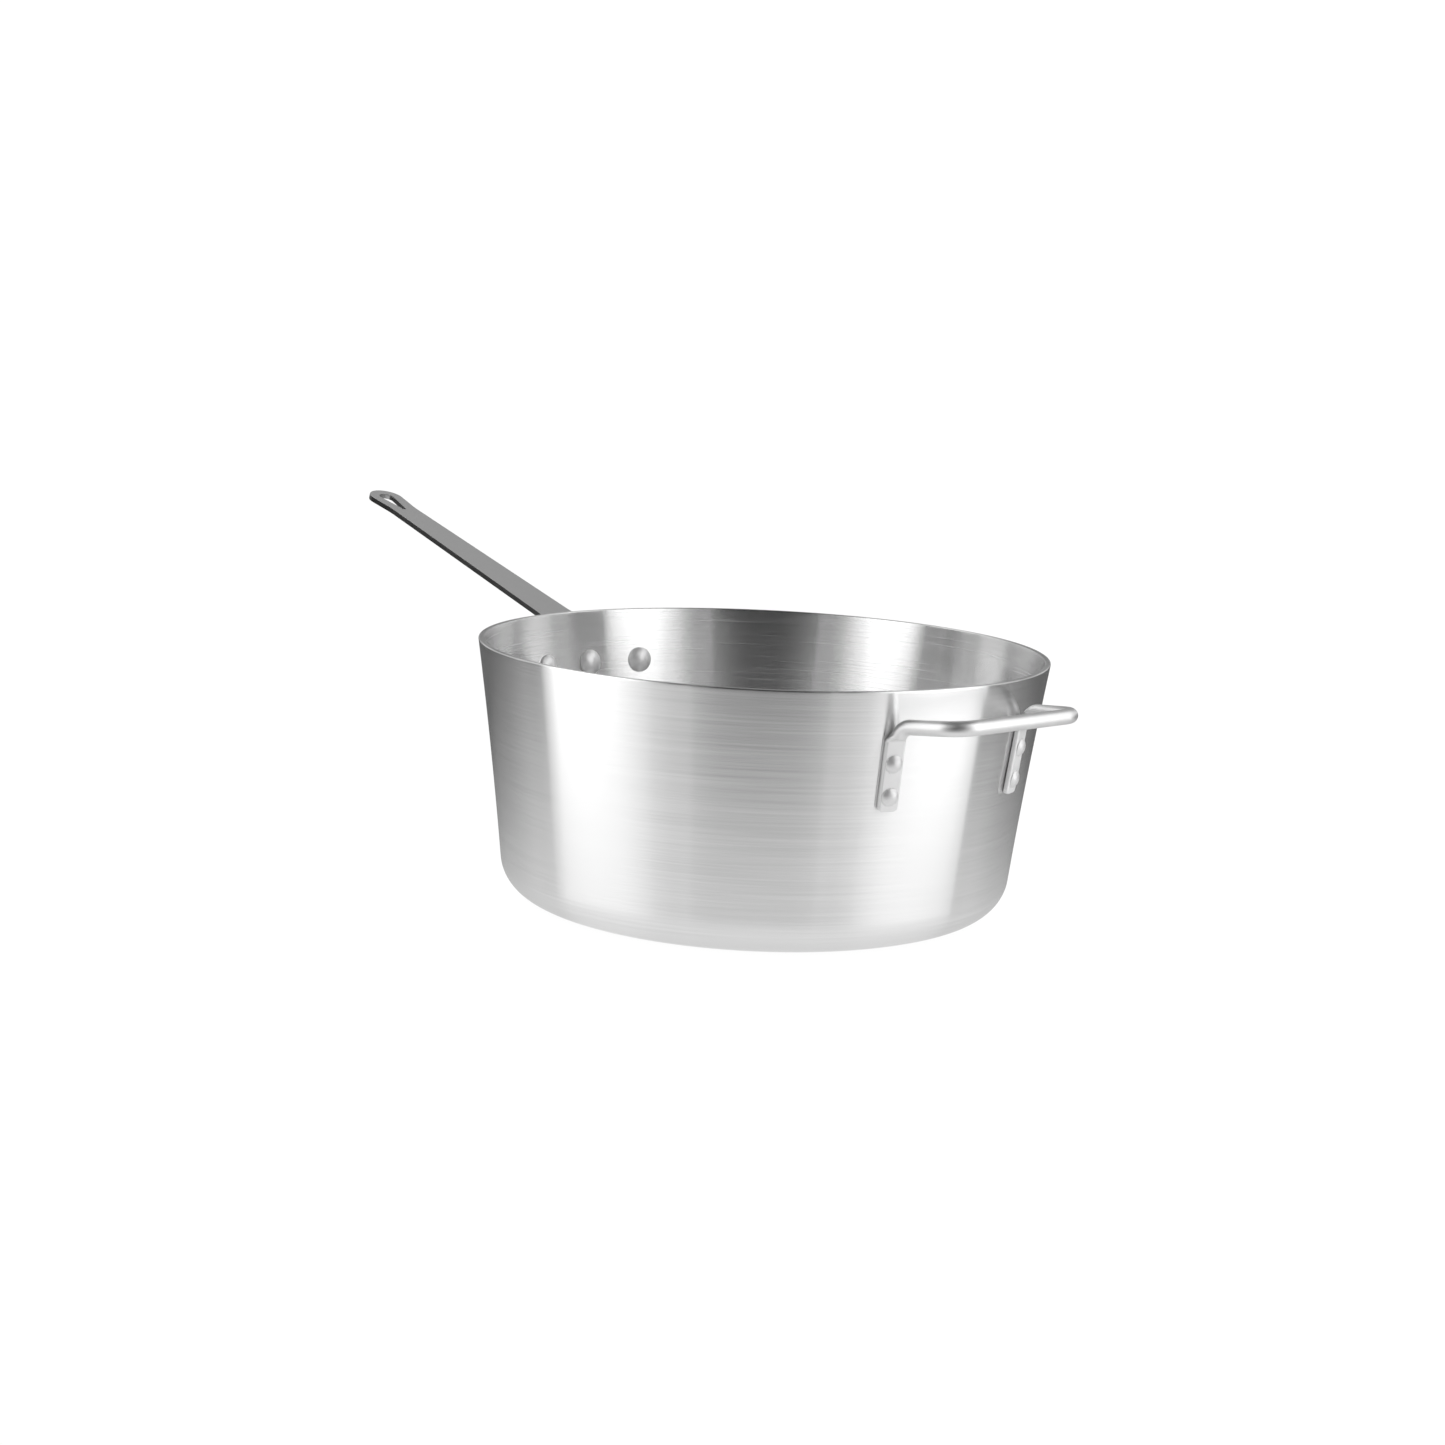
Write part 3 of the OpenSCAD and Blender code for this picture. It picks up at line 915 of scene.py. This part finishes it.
def streaked_normal(n, face, tangent, fine, broad):
    """The face's normal, tipped a little up or down the wall by every streak."""
    tip = n.math("MULTIPLY_ADD", fine, FINE_SLOPE, -0.5 * FINE_SLOPE)
    tip = n.math("ADD", tip, n.math("MULTIPLY_ADD", broad, BROAD_SLOPE, -0.5 * BROAD_SLOPE))
    uphill = n.scaled(n.vector("CROSS_PRODUCT", tangent, face), tip)
    return n.vector("NORMALIZE", n.vector("ADD", face, uphill))


def streaked_colour(n, fine, broad):
    """The metal's grey, which varies from streak to streak."""
    streak = n.math("MULTIPLY_ADD", broad, BROAD_SHARE, n.math("MULTIPLY", fine, 1 - BROAD_SHARE))
    centred = n.math("SUBTRACT", streak, 0.5)
    return n.grey(n.math("MULTIPLY_ADD", centred, STREAK_CONTRAST, STREAK_TONE))


def brushed_pot():
    """Aluminium brushed round the pot's axis, so that it spreads reflections up and down the wall
    and keeps them narrow across it. Inside, the deeper streaks scatter light all round."""
    material, n = new_material("brushed_aluminium")
    place, outward = turned_coordinates(n)
    fine = streaks(n, place, *FINE_STREAKS)
    broad = streaks(n, place, *BROAD_STREAKS)
    bands = streaks(n, place, *BANDS)
    tangent = n.vector("NORMALIZE", n.vector("CROSS_PRODUCT", (0, 0, 1), outward))
    face = n.add("ShaderNodeNewGeometry").outputs["Normal"]
    colour = streaked_colour(n, fine, broad)
    smoothest = POT_ROUGHNESS - BAND_ROUGHNESS / 2
    brushed = n.add(
        "ShaderNodeBsdfAnisotropic",
        {
            "Color": colour,
            "Roughness": n.math("MULTIPLY_ADD", bands, BAND_ROUGHNESS, smoothest),
            "Anisotropy": POT_ANISOTROPY,
            "Normal": streaked_normal(n, face, tangent, fine, broad),
            "Tangent": tangent,
        },
        distribution="MULTI_GGX",
    )
    scratched = n.add(
        "ShaderNodeBsdfAnisotropic",
        {"Color": colour, "Roughness": SCRATCH_ROUGHNESS, "Anisotropy": 0.0, "Normal": face},
        distribution="MULTI_GGX",
    )
    inside = n.math("LESS_THAN", n.vector("DOT_PRODUCT", face, outward), 0.0)
    deep = n.math("MAXIMUM", n.math("SUBTRACT", fine, 0.5), 0.0)
    share = n.math("MULTIPLY", deep, n.math("MULTIPLY", inside, SCRATCH_SHARE))
    mix = n.add("ShaderNodeMixShader", {0: share, 1: brushed.outputs[0], 2: scratched.outputs[0]})
    n.add("ShaderNodeOutputMaterial", {"Surface": mix.outputs[0]})
    return material


def satin(name, grey, roughness, grain_mm, strength, metallic=1.0, dull_and_painted_light_below=None):
    """Metal with an even, fine-grained satin finish. Below a height it is pressed metal, which is
    duller; there its grey is also painted paler, a painted light."""
    material, n = new_material(name)
    here = n.add("ShaderNodeTexCoord").outputs["Object"]
    grain = n.noise(n.scaled(here, 1 / (MM * grain_mm)), 3, 0.6)
    cloud = n.noise(n.scaled(here, 1 / (MM * CLOUD_SIZE)), 2)
    tones = ((0.3, grey * CLOUD_DARK), (0.7, min(grey * CLOUD_LIGHT, 1)))
    colour = n.ramp(cloud, tones, smooth=False)
    rough = n.math("MULTIPLY_ADD", cloud, CLOUD_ROUGHNESS, roughness - CLOUD_ROUGHNESS / 2)
    if dull_and_painted_light_below:
        height = n.math("DIVIDE", n.add("ShaderNodeSeparateXYZ", {0: here}).outputs[2], MM)
        fade = ((dull_and_painted_light_below - PRESSED_FADE, PRESSED_DULLNESS), (dull_and_painted_light_below, 0.0))
        dullness_and_painted_light = n.profile(height, fade)
        rough = n.math("ADD", rough, dullness_and_painted_light)
        # painted light: below the height the grey is made paler, standing in for light on the pressed
        # ends
        painted_light = n.math("MULTIPLY_ADD", dullness_and_painted_light, PRESSED_PAINTED_LIGHT / PRESSED_DULLNESS, 1.0)
        colour = n.vector("MULTIPLY", colour, painted_light)
    bump = n.add("ShaderNodeBump", {"Strength": strength, "Distance": GRAIN_DEPTH * MM, "Height": grain})
    shader = n.add(
        "ShaderNodeBsdfPrincipled",
        {
            "Base Color": colour,
            "Metallic": metallic,
            "Roughness": rough,
            "Normal": bump.outputs[0],
        },
    )
    n.add("ShaderNodeOutputMaterial", {"Surface": shader.outputs[0]})
    return material


# ---------------------------------------------------------------- studio

CAMERA_AZIMUTH = math.radians(46.252)  # from -Y towards +X
CAMERA_ELEVATION = math.radians(13.746)
CAMERA_DISTANCE = 1407.0
CAMERA_PAN = math.radians(-0.886)
CAMERA_TILT = math.radians(3.939)
CAMERA_ROLL = math.radians(2.817)
CAMERA_LENS = 61.56
SENSOR_WIDTH = 36.0
VIEW_END = 100.0  # metres
TO_CAMERA = Vector((math.sin(CAMERA_AZIMUTH), -math.cos(CAMERA_AZIMUTH), 0))
CAMERA_RIGHT = Vector((math.cos(CAMERA_AZIMUTH), math.sin(CAMERA_AZIMUTH), 0))


def turned(a, b, angle):
    """Two axes at right angles, both turned by an angle from a towards b."""
    cos, sin = math.cos(angle), math.sin(angle)
    return a * cos + b * sin, b * cos - a * sin


def make_camera():
    camera = bpy.data.objects.new("camera", bpy.data.cameras.new("camera"))
    bpy.context.scene.collection.objects.link(camera)
    camera.data.lens = CAMERA_LENS
    camera.data.sensor_width = SENSOR_WIDTH
    camera.data.clip_end = VIEW_END
    back = TO_CAMERA * math.cos(CAMERA_ELEVATION) + Vector((0, 0, math.sin(CAMERA_ELEVATION)))
    ahead, right = -back, CAMERA_RIGHT
    above = right.cross(ahead)
    ahead, right = turned(ahead, right, CAMERA_PAN)
    ahead, above = turned(ahead, above, CAMERA_TILT)
    right, above = turned(right, above, CAMERA_ROLL)
    turn = Matrix((right, above, -ahead)).transposed().to_4x4()
    camera.matrix_world = Matrix.Translation(back * CAMERA_DISTANCE * MM) @ turn
    bpy.context.scene.camera = camera


def stage_plane(name, corners, material):
    """A flat stage piece from four corners given as (to the right, towards the camera, up)."""
    points = [CAMERA_RIGHT * x + TO_CAMERA * y + Vector((0, 0, z)) for x, y, z in corners]
    plane = new_piece(name, points, [(0, 1, 2, 3)])
    plane.data.materials.append(material)
    return plane


WHITE = 1.03  # what the camera sees of the studio
PANEL_X = 509.0  # distance of the two side panels from the pot's axis
PANEL_FRONT = 1100.0
PANEL_TOP = 900.0
PANELS = {  # side, back edge towards the camera, strength, brightness left at the back edge
    "panel_left": (-1, 62.0, 0.97, 0.35),
    "panel_right": (1, 48.0, 0.95, 0.75),
}
PANEL_SOFT = 60.0  # length over which a panel's back end is dimmer
PANEL_FADE = (  # brightness along the panels, by the distance towards the camera
    (48, 1.7),
    (190, 2.1),
    (270, 2.1),
    (400, 1.75),
    (500, 1.2),
    (640, 0.45),
    (800, 0.25),
    (1100, 0.3),
)


def forward_of(n, point):
    """How far a point in object coordinates lies towards the camera, in millimetres."""
    return n.vector("DOT_PRODUCT", point, tuple(TO_CAMERA / MM))


def panel_material(name):
    """A white panel that is brightest beside the pot's front and fades towards the camera."""
    material, n = new_material(name + "_light")
    here = n.add("ShaderNodeTexCoord").outputs["Object"]
    _, back, strength, dimmed = PANELS[name]
    forward = forward_of(n, here)
    end = n.profile(forward, ((back, dimmed), (back + PANEL_SOFT, 1.0)))
    level = n.math("MULTIPLY", n.profile(forward, PANEL_FADE), end)
    light = n.add("ShaderNodeEmission", {"Color": level, "Strength": strength})
    n.add("ShaderNodeOutputMaterial", {"Surface": light.outputs[0]})
    return material


def make_panels():
    for name, (side, back, *_) in PANELS.items():
        x = side * PANEL_X
        corners = [
            (x, back, 0),
            (x, PANEL_FRONT, 0),
            (x, PANEL_FRONT, PANEL_TOP),
            (x, back, PANEL_TOP),
        ]
        panel = stage_plane(name, corners, panel_material(name))
        panel.visible_camera = False


FLOOR_HALF = 6000.0  # from the middle of the floor to its edges
FLOOR_DROP = 0.1  # keeps the floor clear of the pot's underside
SHADE_REACH = 20.0  # how far the pot shades the floor that the camera sees
SHADE = 0.96  # brightness of the floor in the deepest shade
FLOOR_MIDDLE = (  # mirrored brightness behind, under and before the pot
    (-300, 0.3),
    (-120, 0.4),
    (0, 0.6),
    (110, 0.8),
    (200, 0.9),
    (310, 0.9),
    (370, 0.3),
    (450, 0.16),
    (1100, 0.12),
)
FLOOR_FLANK = (  # and along the panels
    (-400, 0.12),
    (-120, 0.4),
    (0, 0.6),
    (100, 0.82),
    (300, 0.85),
    (600, 0.85),
    (1100, 0.4),
)
FLOOR_PART = ((140, 0.0), (300, 1.0))  # from middle to flank, by the distance to the side
FLOOR_EDGE = ((520, 1.0), (600, 0.06))  # the floor darkens behind the panels


def floor_material():
    """Pale floor: white to the camera, but for a faint shade where the pot stands. The pot
    mirrors a floor that is bright beside and close before it and dimmer behind it."""
    material, n = new_material("pale_floor")
    path = n.add("ShaderNodeLightPath")
    shade = n.add("ShaderNodeAmbientOcclusion", {"Distance": SHADE_REACH * MM}, samples=8)
    tone = n.ramp(shade.outputs["AO"], ((0.0, SHADE), (0.5, 1.0)), smooth=True)
    seen = n.add("ShaderNodeEmission", {"Color": tone, "Strength": WHITE})
    here = n.add("ShaderNodeTexCoord").outputs["Object"]
    depth = forward_of(n, here)
    side = n.math("ABSOLUTE", n.vector("DOT_PRODUCT", here, tuple(CAMERA_RIGHT / MM)))
    middle = n.profile(depth, FLOOR_MIDDLE)
    flank = n.profile(depth, FLOOR_FLANK)
    part = n.profile(side, FLOOR_PART)
    level = n.math("MULTIPLY_ADD", n.math("SUBTRACT", flank, middle), part, middle)
    level = n.math("MULTIPLY", level, n.profile(side, FLOOR_EDGE))
    glow = n.add("ShaderNodeEmission", {"Color": level})
    mix = n.add(
        "ShaderNodeMixShader",
        {0: path.outputs["Is Camera Ray"], 1: glow.outputs[0], 2: seen.outputs[0]},
    )
    n.add("ShaderNodeOutputMaterial", {"Surface": mix.outputs[0]})
    return material


def make_floor():
    half = FLOOR_HALF
    edges = ((-half, -half), (half, -half), (half, half), (-half, half))
    stage_plane("floor", [(x, y, -FLOOR_DROP) for x, y in edges], floor_material())


# Rings of light round the room, each with two fades: one by the height over the horizon and one
# by the bearing from the camera's side, both in degrees
ROOM = (
    (
        ((-10, 1.0), (2, 1.0), (8, 0.0)),
        ((95, 0.0), (97, 0.2), (125, 0.05), (140, 0.3), (150, 0.55)),
    ),
    (
        ((2, 0.0), (8, 1.0), (12, 1.0), (18, 0.0)),
        ((95, 0.0), (97, 0.2), (104, 0.3), (108, 0.9), (120, 0.95), (145, 1.1), (155, 0.7), (170, 0.2)),
    ),
    (
        ((12, 0.0), (18, 1.0), (27, 1.0), (33, 0.0)),
        ((95, 0.0), (97, 0.78), (125, 0.85), (135, 0.5), (165, 0.23)),
    ),
    (
        ((27, 0.0), (33, 1.0), (47, 1.0), (53, 0.1), (70, 0.0)),
        (
            (20, 0.0),
            (35, 1.0),
            (60, 1.5),
            (97, 1.8),
            (104, 1.95),
            (118, 1.15),
            (130, 0.8),
            (150, 0.5),
            (165, 0.7),
            (180, 0.86),
        ),
    ),
    (((62, 0.0), (70, 0.1), (90, 0.1)), ((0, 1.0), (180, 1.0))),
)


def make_world():
    """White to the camera. The pot mirrors a room that is dark low down on the camera's side, with
    soft lights beyond the panels and behind the pot, a ring of light above and a dim ceiling."""
    world = bpy.data.worlds.new("studio")
    bpy.context.scene.world = world
    world.use_nodes = True
    n = Nodes(world.node_tree)
    direction = n.add("ShaderNodeTexCoord").outputs["Generated"]
    towards = n.vector("DOT_PRODUCT", direction, tuple(TO_CAMERA))
    across = n.vector("DOT_PRODUCT", direction, tuple(CAMERA_RIGHT))
    bearing = n.math("ABSOLUTE", n.math("ARCTAN2", across, towards))
    bearing = n.math("MULTIPLY", bearing, math.degrees(1))
    height = n.math("ARCSINE", n.add("ShaderNodeSeparateXYZ", {0: direction}).outputs[2])
    height = n.math("MULTIPLY", height, math.degrees(1))
    room = 0.0
    for heights, round_room in ROOM:
        light = n.math("MULTIPLY", n.profile(bearing, round_room), n.profile(height, heights))
        room = n.math("ADD", room, light)
    path = n.add("ShaderNodeLightPath")
    strength = n.math("MAXIMUM", room, n.math("MULTIPLY", path.outputs["Is Camera Ray"], WHITE))
    back = n.add("ShaderNodeBackground", {"Color": (1, 1, 1, 1), "Strength": strength})
    n.add("ShaderNodeOutputWorld", {"Surface": back.outputs[0]})


# ---------------------------------------------------------------- build

pot_metal = brushed_pot()
rod_metal = satin("satin_rod", 0.79, 0.44, grain_mm=0.35, strength=0.3, dull_and_painted_light_below=PRESSED_TOP)
rivet_metal = satin("satin_rivet", 0.94, 0.42, grain_mm=0.5, strength=0.35, metallic=0.55)
small_rivet_metal = satin("satin_small_rivet", 0.82, 0.45, grain_mm=0.5, strength=0.35, metallic=0.6)
strip_metal = satin("plated_steel", 0.51, 0.32, grain_mm=0.25, strength=0.3)

make_pot(pot_metal)
make_long_handle(strip_metal)
make_helper_handle(rod_metal)
for rivet_node in HANDLE_RIVETS:
    layer = STRIP_T + SEAT_GAP
    make_rivet(rivet_node, HANDLE_SHANK_D, layer, HANDLE_HEAD_D, HANDLE_TAIL_D, rivet_metal)
for rivet_node in HELPER_RIVETS:
    layer = TAB_T + TAB_GAP
    make_rivet(rivet_node, HELPER_SHANK_D, layer, HELPER_HEAD_D, HELPER_HEAD_D, small_rivet_metal)

make_floor()
make_panels()
make_world()
make_camera()
bpy.context.scene.view_settings.view_transform = "Standard"
